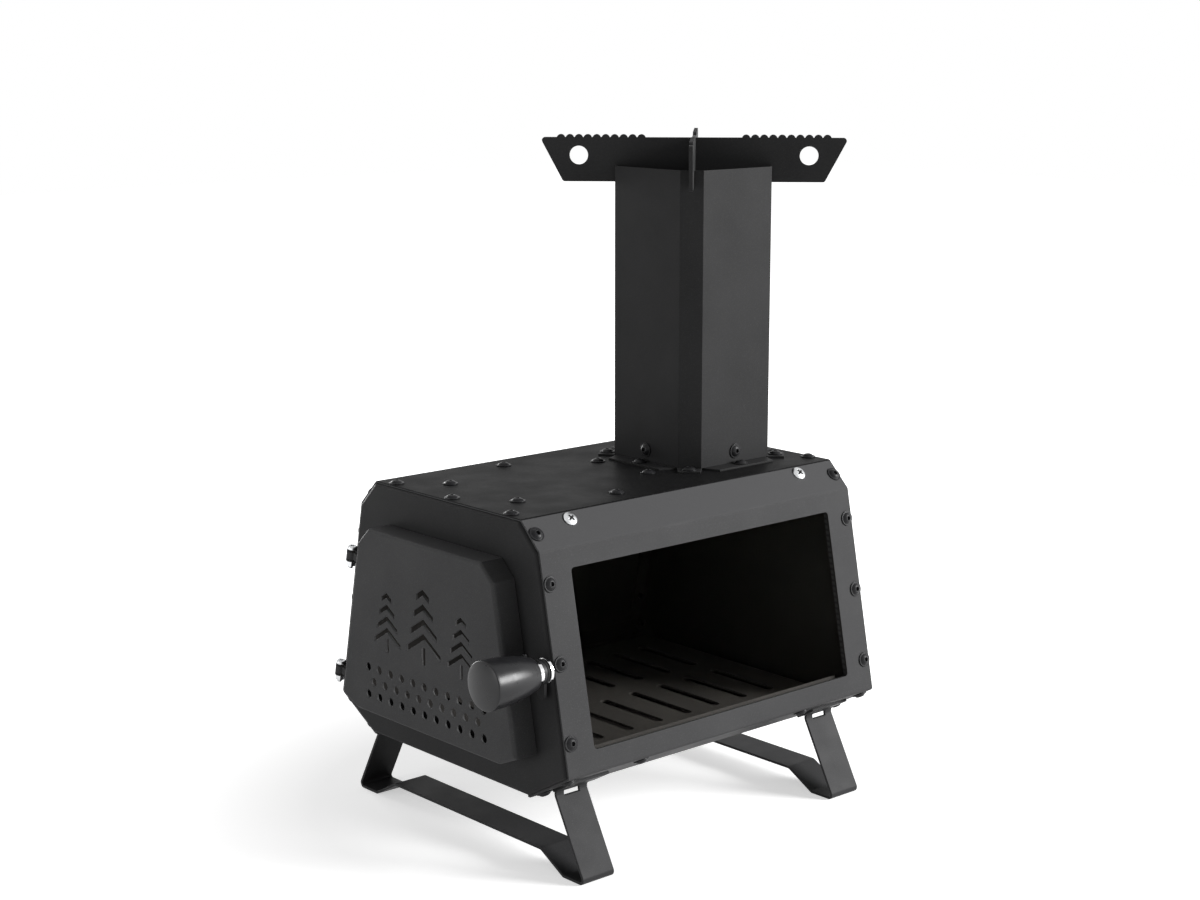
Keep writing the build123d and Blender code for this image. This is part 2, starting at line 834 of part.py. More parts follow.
with BuildPart() as leg_screws:
    with Locations(*leg_screw_seats(-1), *leg_screw_seats(1)):
        add(leg_screw_one.part)
leg_screws.part.label = "leg_screws"
export_step(leg_screws.part, "parts/leg_screws.step")


# Door: a folded pan with vents and tree cut-outs
keeper_plane = Plane(
    origin=(door_end, -door_half(knob_up), floor + knob_up),
    x_dir=(0, sin(lean), cos(lean)),
    z_dir=(0, -cos(lean), sin(lean)),
)
with BuildPart() as door_pan:
    with BuildSketch(Plane.YZ.offset(door_end - door_gap)):
        door_outline()
    extrude(amount=door_gap - door_depth)
    fillet(door_pan.faces().sort_by(Axis.X)[0].edges(), bend)
    offset(amount=-sheet, openings=door_pan.faces().sort_by(Axis.X)[-1])
    with BuildSketch(door_face.offset(door_depth)):
        for row in (-1, 0, 1):
            with Locations((0, vent_up + row * vent_row_rise)):
                with GridLocations(vent_pitch, vent_pitch, vent_count - (row == 0), 1):
                    Circle(vent_hole / 2)
        for tree, scale in ((-1, side_tree_scale), (0, 1.0), (1, side_tree_scale)):
            for tier in range(tree_tiers):
                half = scale * (top_tier_half + tier * tier_growth)
                drop = half * tier_slope
                band = scale * tier_band
                tiers_below = tree_tiers - 1 - tier
                peak = trees_up + scale * (lowest_tier_peak + tiers_below * tier_rise)
                with BuildLine():
                    Polyline(
                        (tree * tree_pitch, peak),
                        (tree * tree_pitch + half, peak - drop),
                        (tree * tree_pitch + half, peak - drop - band),
                        (tree * tree_pitch, peak - band),
                        (tree * tree_pitch - half, peak - drop - band),
                        (tree * tree_pitch - half, peak - drop),
                        close=True,
                    )
                make_face()
            with Locations((tree * tree_pitch, trees_up)):
                Rectangle(
                    scale * trunk_width, scale * trunk_height,
                    align=(Align.CENTER, Align.MIN),
                )
    extrude(amount=-past, mode=Mode.SUBTRACT)
    with BuildSketch(keeper_plane.offset(past / 2)):
        with Locations((0, keeper_start - running)):
            Rectangle(
                keeper_height + 2 * door_gap, keeper + 2 * running,
                align=(Align.CENTER, Align.MIN),
            )
    extrude(amount=-past, mode=Mode.SUBTRACT)
door_pan.part.label = "door_pan"
export_step(door_pan.part, "parts/door_pan.step")

with BuildPart() as latch_keeper:
    with BuildSketch(keeper_plane.offset(-sheet - keeper)):
        with Locations((0, keeper_start)):
            Rectangle(keeper_height, keeper_foot, align=(Align.CENTER, Align.MIN))
    extrude(amount=keeper)
    with BuildSketch(keeper_plane.offset(-sheet)):
        with Locations((0, keeper_start)):
            Rectangle(keeper_height, keeper, align=(Align.CENTER, Align.MIN))
    extrude(amount=sheet + keeper_reach)
latch_keeper.part.label = "latch_keeper"
export_step(latch_keeper.part, "parts/latch_keeper.step")


# Hinges, drawn about the bolt's axis with X towards the end plate
ear_start = eye_height / 2 + eye_play
bracket_reach = (hinge_inset * cos(lean)) - end_inset - bend
with BuildPart() as bracket_one:
    for low in (-ear_start - ear, ear_start):
        with BuildSketch(Plane.XY.offset(low)):
            Circle(knuckle / 2)
            with Locations((0, bracket_reach)):
                Rectangle(hinge_standoff, bracket_foot, align=(Align.MIN, Align.MAX))
            Circle(bolt / 2 + running, mode=Mode.SUBTRACT)
        extrude(amount=ear)
    with BuildSketch(Plane.XY.offset(-ear_start - ear)):
        with Locations((hinge_standoff, bracket_reach)):
            Rectangle(ear, bracket_foot, align=(Align.MAX, Align.MAX))
    extrude(amount=2 * (ear_start + ear))

wall_out = (body_half(0) - door_half(0) - hinge_inset) * cos(lean)
with BuildPart() as leaf_one:
    with BuildSketch(Plane.XY.offset(-eye_height / 2)):
        Circle(knuckle / 2)
        Rectangle(leaf, wall_out, align=(Align.CENTER, Align.MAX))
        Circle(bolt / 2 + 2 * running, mode=Mode.SUBTRACT)
    extrude(amount=eye_height)
    with BuildSketch(Plane.XY.offset(-leaf_height / 2)):
        with Locations((0, -wall_out)):
            Rectangle(
                leaf, wall_out - bracket_foot - leaf_clear, align=(Align.CENTER, Align.MIN)
            )
        with Locations((leaf / 2, -wall_out)):
            Rectangle(leaf_foot, sheet, align=(Align.MAX, Align.MIN))
    extrude(amount=leaf_height)

with BuildPart() as nut_one:
    with BuildSketch(Plane.XY.offset(-ear_start - ear)):
        RegularPolygon(nut_across / 2, 6, major_radius=False)
        Circle(bolt / 2 + running, mode=Mode.SUBTRACT)
    extrude(amount=-nut_height)

with BuildPart() as bolt_one:
    with Locations((0, 0, ear_start + ear)):
        Cylinder(pan_head / 2, pan_head_height, align=(Align.CENTER, Align.CENTER, Align.MIN))
    fillet(bolt_one.faces().sort_by(Axis.Z)[-1].edges(), pan_head_round)
    with Locations((0, 0, ear_start + ear)):
        Cylinder(
            bolt / 2, 2 * (ear_start + ear) + nut_height + bolt_tail,
            align=(Align.CENTER, Align.CENTER, Align.MAX),
        )
    with BuildSketch(Plane.XY.offset(ear_start + ear + pan_head_height)):
        Rectangle(recess_length, recess_width)
        Rectangle(recess_width, recess_length)
    extrude(amount=-recess_depth, mode=Mode.SUBTRACT)

hinge_groups = {
    "hinge_brackets": bracket_one,
    "door_hinge_leaves": leaf_one,
    "hinge_bolts": bolt_one,
    "hinge_nuts": nut_one,
}
for name, piece in hinge_groups.items():
    with BuildPart() as hinge_pair:
        with Locations(*[plane.location for plane in hinge_planes]):
            add(piece.part)
    hinge_pair.part.label = name
    export_step(hinge_pair.part, f"parts/{name}.step")


# Latch: a shaft through the end plate, a cam behind the knob and a keeping clip
with BuildPart() as latch_shaft:
    with BuildSketch(knob_axis.offset(-end_sheet - door_gap - 2 * clip)):
        Circle(shaft / 2)
    extrude(amount=end_sheet + door_gap + 2 * clip + neck_ring_end + grip_bore)
latch_shaft.part.label = "latch_shaft"
export_step(latch_shaft.part, "parts/latch_shaft.step")

with BuildPart() as latch_clip:
    with BuildSketch(knob_axis.offset(-end_sheet - door_gap - clip)):
        Circle(clip_diameter / 2)
        Circle(shaft / 2 + running, mode=Mode.SUBTRACT)
    extrude(amount=clip)
latch_clip.part.label = "latch_clip"
export_step(latch_clip.part, "parts/latch_clip.step")

cam_start = base_ring_start + base_ring
with BuildPart() as latch_cam:
    with BuildSketch(knob_axis.offset(cam_start)):
        Circle(cam_hub / 2)
        with Locations((0, -(cam_reach - cam_tip / 2) / 2)):
            Rectangle(cam_tip, cam_reach - cam_tip / 2)
        with Locations((0, -(cam_reach - cam_tip / 2))):
            Circle(cam_tip / 2)
        Circle(shaft / 2 + running, mode=Mode.SUBTRACT)
    extrude(amount=cam)
latch_cam.part.label = "latch_cam"
export_step(latch_cam.part, "parts/latch_cam.step")

with BuildPart() as knob_base_ring:
    with BuildSketch(knob_axis.offset(base_ring_start)):
        Circle(ring_diameter / 2)
        Circle(shaft / 2 + running, mode=Mode.SUBTRACT)
    extrude(amount=base_ring)
knob_base_ring.part.label = "knob_base_ring"
export_step(knob_base_ring.part, "parts/knob_base_ring.step")

with BuildPart() as knob_spacer:
    with BuildSketch(knob_axis.offset(cam_start + cam)):
        Circle(spacer_diameter / 2)
        Circle(shaft / 2 + running, mode=Mode.SUBTRACT)
    extrude(amount=spacer_end - cam_start - cam)
knob_spacer.part.label = "knob_spacer"
export_step(knob_spacer.part, "parts/knob_spacer.step")

with BuildPart() as knob_neck_ring:
    with BuildSketch(knob_half):
        with BuildLine():
            Polyline(
                (shaft / 2 + running, spacer_end), (ring_diameter / 2, spacer_end),
                (grip_neck / 2, neck_ring_end), (shaft / 2 + running, neck_ring_end),
                close=True,
            )
        make_face()
    revolve(axis=Axis(knob_half.origin, (-1, 0, 0)))
knob_neck_ring.part.label = "knob_neck_ring"
export_step(knob_neck_ring.part, "parts/knob_neck_ring.step")

rim = neck_ring_end + grip_length
grip_half = grip_diameter / 2
dome_half = grip_half - grip_edge
dome_radius = (dome_half**2 + grip_dome**2) / (2 * grip_dome)
dome_drop = dome_radius - sqrt(dome_radius**2 - (dome_half / 2) ** 2)
edge_step = grip_edge * (1 - sqrt(0.5))
barrel_length = grip_length - grip_edge
barrel_rise = grip_half - grip_neck / 2
barrel_radius = (barrel_rise**2 + barrel_length**2) / (2 * barrel_rise)
barrel_drop = barrel_radius - sqrt(barrel_radius**2 - (barrel_length / 2) ** 2)
with BuildPart() as knob_grip:
    with BuildSketch(knob_half):
        with BuildLine():
            Line((shaft / 2 + running, neck_ring_end), (grip_neck / 2, neck_ring_end))
            ThreePointArc(
                (grip_neck / 2, neck_ring_end),
                (grip_half - barrel_drop, neck_ring_end + barrel_length / 2),
                (grip_half, rim - grip_edge),
            )
            ThreePointArc(
                (grip_half, rim - grip_edge),
                (grip_half - edge_step, rim - edge_step),
                (dome_half, rim),
            )
            ThreePointArc(
                (dome_half, rim),
                (dome_half / 2, rim + grip_dome - dome_drop),
                (0, rim + grip_dome),
            )
            Line((0, rim + grip_dome), (0, neck_ring_end + grip_bore))
            Line(
                (0, neck_ring_end + grip_bore),
                (shaft / 2 + running, neck_ring_end + grip_bore),
            )
            Line(
                (shaft / 2 + running, neck_ring_end + grip_bore),
                (shaft / 2 + running, neck_ring_end),
            )
        make_face()
    revolve(axis=Axis(knob_half.origin, (-1, 0, 0)))
knob_grip.part.label = "knob_grip"
export_step(knob_grip.part, "parts/knob_grip.step")
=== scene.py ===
# %% [markdown]
# # A camping wood stove, dressed for its picture
#
# The stove is a folded steel box on two bent straps, with a window, a door and a
# square chimney that carries a toothed rack. Its metal shapes come ready from the
# imported model, in metres, so this lesson is about finish and small work: powder
# coat that catches light along its folds, glass over a dark hollow, bright screws,
# welds and threads. First we load the model.

# %% Load the imported model
import json
import math

import bmesh
import bpy
from mathutils import Euler, Matrix, Vector


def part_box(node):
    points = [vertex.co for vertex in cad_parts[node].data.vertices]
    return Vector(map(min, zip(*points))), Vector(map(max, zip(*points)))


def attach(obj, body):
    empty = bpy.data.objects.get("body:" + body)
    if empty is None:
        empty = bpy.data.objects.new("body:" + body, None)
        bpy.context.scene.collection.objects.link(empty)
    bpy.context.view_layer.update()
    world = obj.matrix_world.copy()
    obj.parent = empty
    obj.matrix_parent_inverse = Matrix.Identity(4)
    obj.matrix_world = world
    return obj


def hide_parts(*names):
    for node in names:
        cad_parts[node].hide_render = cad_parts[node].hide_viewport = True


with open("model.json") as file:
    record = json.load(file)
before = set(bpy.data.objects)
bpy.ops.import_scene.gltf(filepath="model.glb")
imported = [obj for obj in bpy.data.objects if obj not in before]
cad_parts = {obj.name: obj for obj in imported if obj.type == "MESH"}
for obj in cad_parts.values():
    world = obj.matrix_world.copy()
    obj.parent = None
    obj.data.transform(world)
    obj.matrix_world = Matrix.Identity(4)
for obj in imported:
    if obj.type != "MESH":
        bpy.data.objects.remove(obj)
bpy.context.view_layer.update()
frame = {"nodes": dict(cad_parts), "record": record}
nodes = frame["nodes"]
joints = {joint["name"]: joint for joint in frame["record"]["behaviour"]["joints"]}
scene = bpy.context.scene
mm = 0.001
print("nodes loaded:", len(nodes))

# %% [markdown]
# ## A small kit for materials
#
# Each finish is a node tree built in code, so nothing depends on image files. These
# helpers start a material from its main shader and give it to nodes of the model.
# A value handed to a helper may be a plain number or a socket of another node:
# `join` sets the first and links the second.


# %% Helpers for materials
def new_material(name):
    """An empty node material with its Principled shader."""
    material = bpy.data.materials.new(name)
    material.use_nodes = True
    shader = material.node_tree.nodes["Principled BSDF"]
    return material, material.node_tree, shader


def join(tree, value, socket):
    """Links a socket, or sets a plain number or colour."""
    if isinstance(value, bpy.types.NodeSocket):
        tree.links.new(value, socket)
    elif isinstance(value, tuple):
        socket.default_value = (*value, 1.0)
    else:
        socket.default_value = value


def dress(names, material):
    """Gives CAD nodes this material."""
    for name in names:
        mesh = nodes[name].data
        mesh.materials.clear()
        mesh.materials.append(material)
    print(material.name, "on", ", ".join(names))


# %% [markdown]
# ## Texture from numbers
#
# Noise gives a value from 0 to 1 at each point of an object. A range stretches its
# middle, a mix turns it into colour, and a bump into relief. Blender counts noise in
# metres, so we ask for the size of a grain in millimetres instead, and grain keeps
# the same size on every part.

# %% Helpers for texture
noise_middle = (0.3, 0.7)


def add_noise(tree, grain, detail=3.0):
    """Noise whose grains are about this many millimetres across."""
    place = tree.nodes.new("ShaderNodeTexCoord")
    noise = tree.nodes.new("ShaderNodeTexNoise")
    noise.inputs["Scale"].default_value = 1.0 / (grain * mm)
    noise.inputs["Detail"].default_value = detail
    tree.links.new(place.outputs["Object"], noise.inputs["Vector"])
    return noise.outputs["Fac"]


def add_range(tree, value, low, high, span=noise_middle):
    """The value, stretched from its span onto low to high."""
    ramp = tree.nodes.new("ShaderNodeMapRange")
    ramp.inputs["From Min"].default_value, ramp.inputs["From Max"].default_value = span
    ramp.inputs["To Min"].default_value = low
    ramp.inputs["To Max"].default_value = high
    tree.links.new(value, ramp.inputs["Value"])
    return ramp.outputs["Result"]


def add_mix(tree, value, first, second):
    """A colour that goes from first to second as the value goes from 0 to 1."""
    mix = tree.nodes.new("ShaderNodeMix")
    mix.data_type = "RGBA"
    join(tree, first, mix.inputs["A"])
    join(tree, second, mix.inputs["B"])
    tree.links.new(value, mix.inputs["Factor"])
    return mix.outputs["Result"]


def add_math(tree, operation, first, second):
    """One operation on two values, each a number or a socket."""
    step = tree.nodes.new("ShaderNodeMath")
    step.operation = operation
    join(tree, first, step.inputs[0])
    join(tree, second, step.inputs[1])
    return step.outputs["Value"]


def add_bump(tree, shader, height, strength, depth, normal=None):
    """Raises the surface by the height, which is depth millimetres at its most."""
    bump = tree.nodes.new("ShaderNodeBump")
    bump.inputs["Strength"].default_value = strength
    bump.inputs["Distance"].default_value = depth * mm
    tree.links.new(height, bump.inputs["Height"])
    if normal is not None:
        tree.links.new(normal, bump.inputs["Normal"])
    tree.links.new(bump.outputs["Normal"], shader.inputs["Normal"])


# %% [markdown]
# ## Soft edges
#
# No real sheet has a perfectly sharp edge: the cutter's burr is tumbled off and the
# coat runs round the corner, so each edge shows a thin line of light. We could bevel
# the meshes, but tiny bevels on finely divided CAD meshes tangle. The Bevel node
# rounds only the shading, by the radius given. Where its normal leaves the true
# one we are close to an edge, which also tells us where the coat gets rubbed.

# %% Rounded shading and the edge mask
bevel_samples = 6
edge_span = (0.97, 0.78)


def add_soft_edge(tree, radius):
    """A normal rounded over radius millimetres, and a mask that is 1 on edges."""
    bevel = tree.nodes.new("ShaderNodeBevel")
    bevel.samples = bevel_samples
    bevel.inputs["Radius"].default_value = radius * mm
    true_normal = tree.nodes.new("ShaderNodeNewGeometry")
    dot = tree.nodes.new("ShaderNodeVectorMath")
    dot.operation = "DOT_PRODUCT"
    tree.links.new(bevel.outputs["Normal"], dot.inputs[0])
    tree.links.new(true_normal.outputs["Normal"], dot.inputs[1])
    mask = add_range(tree, dot.outputs["Value"], 0.0, 1.0, edge_span)
    return bevel.outputs["Normal"], mask


# %% [markdown]
# ## Where the coat and the painted light change
#
# One sheet can look different from face to face. The shell's sloping shoulders are
# painted lighter and its flat top nearly black: painted light and shade for how the
# light falls on them.
# The inside of the firebox is dull and sooty. We could cut the sheet into pieces
# with a material each, but it is one folded sheet. Two masks do it in the shader:
# the height of a point, and whether its face looks back at the firebox's centre.

# %% Masks by height and by side
height_fade = 0.4 * mm


def add_height(tree, level):
    """0 below a height in metres and 1 just above it."""
    place = tree.nodes.new("ShaderNodeTexCoord")
    split = tree.nodes.new("ShaderNodeSeparateXYZ")
    tree.links.new(place.outputs["Object"], split.inputs["Vector"])
    return add_range(tree, split.outputs["Z"], 0.0, 1.0, (level, level + height_fade))


def add_inside(tree, centre):
    """1 on faces that look back at a centre, as the inside of a box does, else 0."""
    place = tree.nodes.new("ShaderNodeTexCoord")
    reach = tree.nodes.new("ShaderNodeVectorMath")
    reach.operation = "SUBTRACT"
    tree.links.new(place.outputs["Object"], reach.inputs[0])
    reach.inputs[1].default_value = centre
    facing = tree.nodes.new("ShaderNodeVectorMath")
    facing.operation = "DOT_PRODUCT"
    tree.links.new(reach.outputs["Vector"], facing.inputs[0])
    tree.links.new(place.outputs["Normal"], facing.inputs[1])
    return add_math(tree, "LESS_THAN", facing.outputs["Value"], 0.0)


# %% [markdown]
# ## Powder coat
#
# The sheet metal is sprayed with a black powder that melts into a satin skin. Up
# close it has a fine grain, which breaks up the highlight, and a few specks of
# powder that stand a little brighter. A second, much larger noise shifts colour and
# gloss from place to place, as on any plate that has been handled. All the coated
# parts share one recipe with their own shade. Inside the firebox the recipe gives
# way to one dull shade, without grain.

# %% The recipe for powder coat
inner_shade = (0.040, 0.038, 0.036)
coat_edge_radius = 0.45
patch_size = 60.0
speck_size = 0.5
speck_span = (0.58, 0.74)
speck_most = 0.5
speck_light = 1.9
rubbed_light = 2.6
worn_size = 25.0
grain_size = 0.7
grain_strength = 0.3
grain_depth = 0.05


def powder_coat(name, dark, light, gloss, sheen=0.05, rub=0.35, painted_light_bands=(), hollow=None):
    """Satin coat of two shades, with painted light and shade by height and a dull hollow.
    """
    material, tree, shader = new_material(name)
    normal, edge = add_soft_edge(tree, coat_edge_radius)
    patches = add_range(tree, add_noise(tree, patch_size), 0.0, 1.0)
    colour = add_mix(tree, patches, dark, light)
    # Painted light and shade by height: above each level the shade is scaled by its share.
    for level, share in painted_light_bands:
        painted_band = tuple(share * shade for shade in dark)
        colour = add_mix(tree, add_height(tree, level), colour, painted_band)
    specks = add_range(tree, add_noise(tree, speck_size, 1.0), 0.0, speck_most, speck_span)
    colour = add_mix(tree, specks, colour, tuple(speck_light * shade for shade in light))
    rubbed = add_range(tree, edge, 0.0, rub, (0.0, 1.0))
    colour = add_mix(tree, rubbed, colour, tuple(rubbed_light * shade for shade in light))
    worn = add_range(tree, add_noise(tree, worn_size), gloss - 0.04, gloss + 0.05)
    grains = add_noise(tree, grain_size)
    if hollow is not None:
        inside = add_inside(tree, hollow)
        colour = add_mix(tree, inside, colour, inner_shade)
        worn = add_math(tree, "MAXIMUM", worn, inside)
        outside = add_math(tree, "SUBTRACT", 1.0, inside)
        grains = add_math(tree, "MULTIPLY", grains, outside)
    join(tree, colour, shader.inputs["Base Color"])
    join(tree, worn, shader.inputs["Roughness"])
    shader.inputs["Specular IOR Level"].default_value = sheen
    add_bump(tree, shader, grains, grain_strength, grain_depth, normal)
    return material


# %% [markdown]
# ## The coated sheet metal
#
# All these parts wear the same black coat, and their shades are painted light and
# shade: each is set to how much light falls on the part. The shell and the door are
# painted lightest, the end plates, the chimney and the rack darkest, and the legs lie
# between. The pan and grate wear a matt heat paint, lightly browned by use.

# %% Coats for the sheet metal
shoulder_level = 0.2475
top_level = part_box("outer_shell")[1][2] - 0.0009
# Painted light and shade: the shoulders lighter and the flat top nearly black.
shell_painted_light_bands = [(shoulder_level, 1.5), (top_level, 0.12)]
shell_low, shell_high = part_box("outer_shell")
firebox_centre = tuple((low + high) / 2 for low, high in zip(shell_low, shell_high))
# Painted shade: the end plates and the chimney are darkened for the shade they get.
shaded_plate_dark, shaded_plate_light = (0.022, 0.022, 0.0225), (0.027, 0.027, 0.0275)

# Each coat's two shades are painted light and shade, set part by part to its lighting.
shell_coat = powder_coat(
    "shell_powder_coat", (0.046, 0.046, 0.047), (0.054, 0.054, 0.055), 0.46,
    sheen=0.025, painted_light_bands=shell_painted_light_bands, hollow=firebox_centre,
)
end_coat = powder_coat(
    "end_plate_powder_coat", shaded_plate_dark, shaded_plate_light, 0.5, hollow=firebox_centre
)
door_coat = powder_coat(
    "door_powder_coat", (0.048, 0.048, 0.049), (0.056, 0.056, 0.057), 0.52
)
leg_coat = powder_coat(
    "leg_powder_coat", (0.031, 0.031, 0.032), (0.037, 0.037, 0.038), 0.46
)
rack_coat = powder_coat(
    "rack_powder_coat", (0.024, 0.024, 0.0245), (0.029, 0.029, 0.0295), 0.5
)
inner_coat = powder_coat(
    "inner_heat_paint", (0.040, 0.038, 0.036), (0.056, 0.053, 0.050), 0.75
)
chimney_coat = powder_coat("chimney_powder_coat", shaded_plate_dark, shaded_plate_light, 0.5)

dress(["outer_shell"], shell_coat)
dress(["chimney", "flue_collar"], chimney_coat)
dress(["door_end_plate", "back_end_plate", "hinge_brackets", "latch_cam"], end_coat)
dress(["door_pan", "door_hinge_leaves"], door_coat)
dress(["door_end_leg", "back_end_leg"], leg_coat)
dress(["rack_plate_long", "rack_plate_cross"], rack_coat)
dress(["base_pan", "fire_grate"], inner_coat)
dress(["glass_retainer_upper", "glass_retainer_lower", "cooktop_plate"], inner_coat)

# %% [markdown]
# ## The black screws
#
# Most screws are black-oxide steel: darker and a little glossier than the sheet, with
# edges that hardly rub. The same recipe serves, with more sheen and less wear, so
# that each head stands out as a small dark button with a glint.

# %% Black screws
screw_black = powder_coat(
    "black_oxide_screws", (0.010, 0.010, 0.011), (0.015, 0.015, 0.016), 0.36,
    sheen=0.14, rub=0.05,
)
black_screw_groups = [
    "front_shell_screws",
    "rear_shell_screws",
    "top_edge_screws",
    "cooktop_screws",
    "collar_screws",
    "chimney_screws",
    "lower_glass_screws",
    "leg_screws",
]
dress(black_screw_groups, screw_black)

# %% [markdown]
# ## Bright metal
#
# The glass screws, hinge bolts and nuts are zinc-plated steel, and two thin rings on
# the knob are polished. Both are metal shaders; the difference is roughness, and
# the faint tool marks on the plated parts. Soft edges matter most here, since a
# small screw is little more than its edges.

# %% Bright metal
metal_edge_radius = 0.2
cloud_size = 3.0
cloud_shade = 0.8
handling_size = 2.0
tool_mark_size = 0.6
tool_mark_depth = 0.02


def bright_metal(name, colour, gloss, marks):
    """Bare metal with a clouded colour and faint tool marks."""
    material, tree, shader = new_material(name)
    normal = add_soft_edge(tree, metal_edge_radius)[0]
    dull = tuple(cloud_shade * shade for shade in colour)
    cloudy = add_range(tree, add_noise(tree, cloud_size), 0.0, 1.0)
    join(tree, add_mix(tree, cloudy, colour, dull), shader.inputs["Base Color"])
    shader.inputs["Metallic"].default_value = 1.0
    worn = add_range(tree, add_noise(tree, handling_size), gloss - 0.05, gloss + 0.05)
    join(tree, worn, shader.inputs["Roughness"])
    add_bump(tree, shader, add_noise(tree, tool_mark_size), marks, tool_mark_depth, normal)
    return material


zinc = bright_metal("zinc_plated_steel", (0.66, 0.67, 0.68), 0.3, 0.2)
polished = bright_metal("polished_ring", (0.86, 0.86, 0.87), 0.12, 0.05)
dress(["hinge_bolts", "hinge_nuts"], zinc)
dress(["latch_keeper", "latch_shaft", "latch_clip"], zinc)
dress(["knob_base_ring", "knob_neck_ring"], polished)

# %% [markdown]
# ## The knob's finish
#
# The grip is moulded phenolic: deep black, smooth, with the slight haze of a tumbled
# moulding, so a plain shader with a varied, low roughness does it. The spacer
# between the rings is the same stuff left dull.

# %% Moulded black
tint_size = 18.0
haze_size = 9.0
skin_size = 1.2
skin_strength = 0.12
skin_depth = 0.03


def moulded_black(name, dark, light, gloss, sheen):
    """Smooth moulding with a slightly uneven haze."""
    material, tree, shader = new_material(name)
    colour = add_mix(tree, add_noise(tree, tint_size), dark, light)
    join(tree, colour, shader.inputs["Base Color"])
    haze = add_range(tree, add_noise(tree, haze_size), gloss - 0.04, gloss + 0.06)
    join(tree, haze, shader.inputs["Roughness"])
    shader.inputs["Specular IOR Level"].default_value = sheen
    add_bump(tree, shader, add_noise(tree, skin_size), skin_strength, skin_depth)
    return material


grip_black = moulded_black(
    "grip_satin_black", (0.009, 0.009, 0.010), (0.014, 0.014, 0.015), 0.30, 0.25
)
spacer_black = moulded_black(
    "spacer_dull_black", (0.012, 0.012, 0.013), (0.020, 0.020, 0.021), 0.5, 0.3
)
dress(["knob_spacer"], spacer_black)

# %% [markdown]
# ## The window glass
#
# Stove glass is a clear ceramic pane with a faint warm tint. What we see through it
# is the dark firebox, so every ray that is reflected by chance would leave a white
# dot there. We could spend many more samples on real reflections. Instead the index
# is all but that of air, and only the tint is left of the pane. Shadow rays pass
# straight through, or no light would reach the firebox.

# %% Window glass
clear_index = 1.001
smear_size = 70.0


def stove_glass():
    """A clear, faintly tinted pane that lets shadow rays through."""
    material, tree, shader = new_material("clear_stove_glass")
    smears = add_noise(tree, smear_size)
    tint = add_mix(tree, smears, (0.93, 0.92, 0.89), (0.88, 0.87, 0.84))
    join(tree, tint, shader.inputs["Base Color"])
    shader.inputs["Roughness"].default_value = 0.0
    shader.inputs["Transmission Weight"].default_value = 1.0
    shader.inputs["IOR"].default_value = clear_index
    path = tree.nodes.new("ShaderNodeLightPath")
    solid = add_math(tree, "SUBTRACT", 1.0, path.outputs["Is Shadow Ray"])
    join(tree, solid, shader.inputs["Alpha"])
    return material


dress(["window_glass"], stove_glass())

# %% [markdown]
# ## The gasket
#
# The gasket is a black woven rope pressed flat between glass and steel. Modelled
# threads would cost thousands of faces on a strip that shows only as a dark line,
# so two crossed waves give the weave, both as colour and as relief.

# %% Window gasket
thread_size = 1.6
wave_turn = 6.3
wave_slack = 0.6
weave_strength = 0.8
weave_depth = 0.3


def add_weave(tree, thread):
    """Two crossed waves, as the threads of a plaited rope."""
    place = tree.nodes.new("ShaderNodeTexCoord")
    heights = []
    for turn in (math.radians(45), math.radians(-45)):
        turned = tree.nodes.new("ShaderNodeMapping")
        turned.inputs["Rotation"].default_value = (0.0, turn, 0.0)
        wave = tree.nodes.new("ShaderNodeTexWave")
        wave.inputs["Scale"].default_value = 1.0 / (thread * mm) / wave_turn
        wave.inputs["Distortion"].default_value = wave_slack
        tree.links.new(place.outputs["Object"], turned.inputs["Vector"])
        tree.links.new(turned.outputs["Vector"], wave.inputs["Vector"])
        heights.append(wave.outputs["Fac"])
    return add_math(tree, "MAXIMUM", *heights)


def gasket_rope():
    """Dull black rope with its weave in relief."""
    material, tree, shader = new_material("woven_black_gasket")
    weave = add_weave(tree, thread_size)
    colour = add_mix(tree, weave, (0.006, 0.006, 0.006), (0.035, 0.034, 0.033))
    join(tree, colour, shader.inputs["Base Color"])
    shader.inputs["Roughness"].default_value = 0.9
    add_bump(tree, shader, weave, weave_strength, weave_depth)
    return material


dress(["window_gasket"], gasket_rope())

# %% [markdown]
# ## A small kit for meshes
#
# The last details are too fine for the solid model, but they show as shapes, so they
# are meshes and not paint. Two tools make nearly all of them. `sweep` draws a tube
# along a path, for beads and threads, and `spin` turns an outline about a line, for
# round heads and grips. Each piece rides on the body that it is fixed to.


# %% Helpers for meshes
def build_mesh(name, build):
    """A mesh filled by the function, in metres, with its faces turned outward."""
    mesh = bpy.data.meshes.new(name)
    shape = bmesh.new()
    build(shape)
    bmesh.ops.recalc_face_normals(shape, faces=shape.faces)
    shape.to_mesh(mesh)
    shape.free()
    return mesh


def put_in_scene(name, data):
    """An object for the data, in the scene's collection."""
    item = bpy.data.objects.new(name, data)
    scene.collection.objects.link(item)
    return item


def fix_to(piece, body):
    """Smooth faces, and the body that a finished piece belongs to."""
    for face in piece.data.polygons:
        face.use_smooth = True
    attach(piece, body)
    print(piece.name, "faces", len(piece.data.polygons))
    return piece


def make_piece(name, build, material, body):
    """A smooth mesh built by the function, in metres, that rides on a body."""
    mesh = build_mesh(name, build)
    mesh.materials.append(material)
    return fix_to(put_in_scene(name, mesh), body)


def add_ring(shape, sides, place):
    """Points all round, each placed from its angle."""
    angles = [2 * math.pi * step / sides for step in range(sides)]
    return [shape.verts.new(place(angle)) for angle in angles]


def skin(shape, first, second):
    """Faces between two rings; points that coincide are used once."""
    sides = len(first)
    for step in range(sides):
        after = (step + 1) % sides
        corners = (first[step], first[after], second[after], second[step])
        shape.faces.new(tuple(dict.fromkeys(corners)))


# %% [markdown]
# ## Tubes and spun forms
#
# A tube needs a direction across it that doesn't twist as the path turns. We carry
# one direction along, and at each point take away the part that runs with the path.
# A spun form closes by itself where its outline touches the line it turns about:
# there the whole ring is one and the same point.


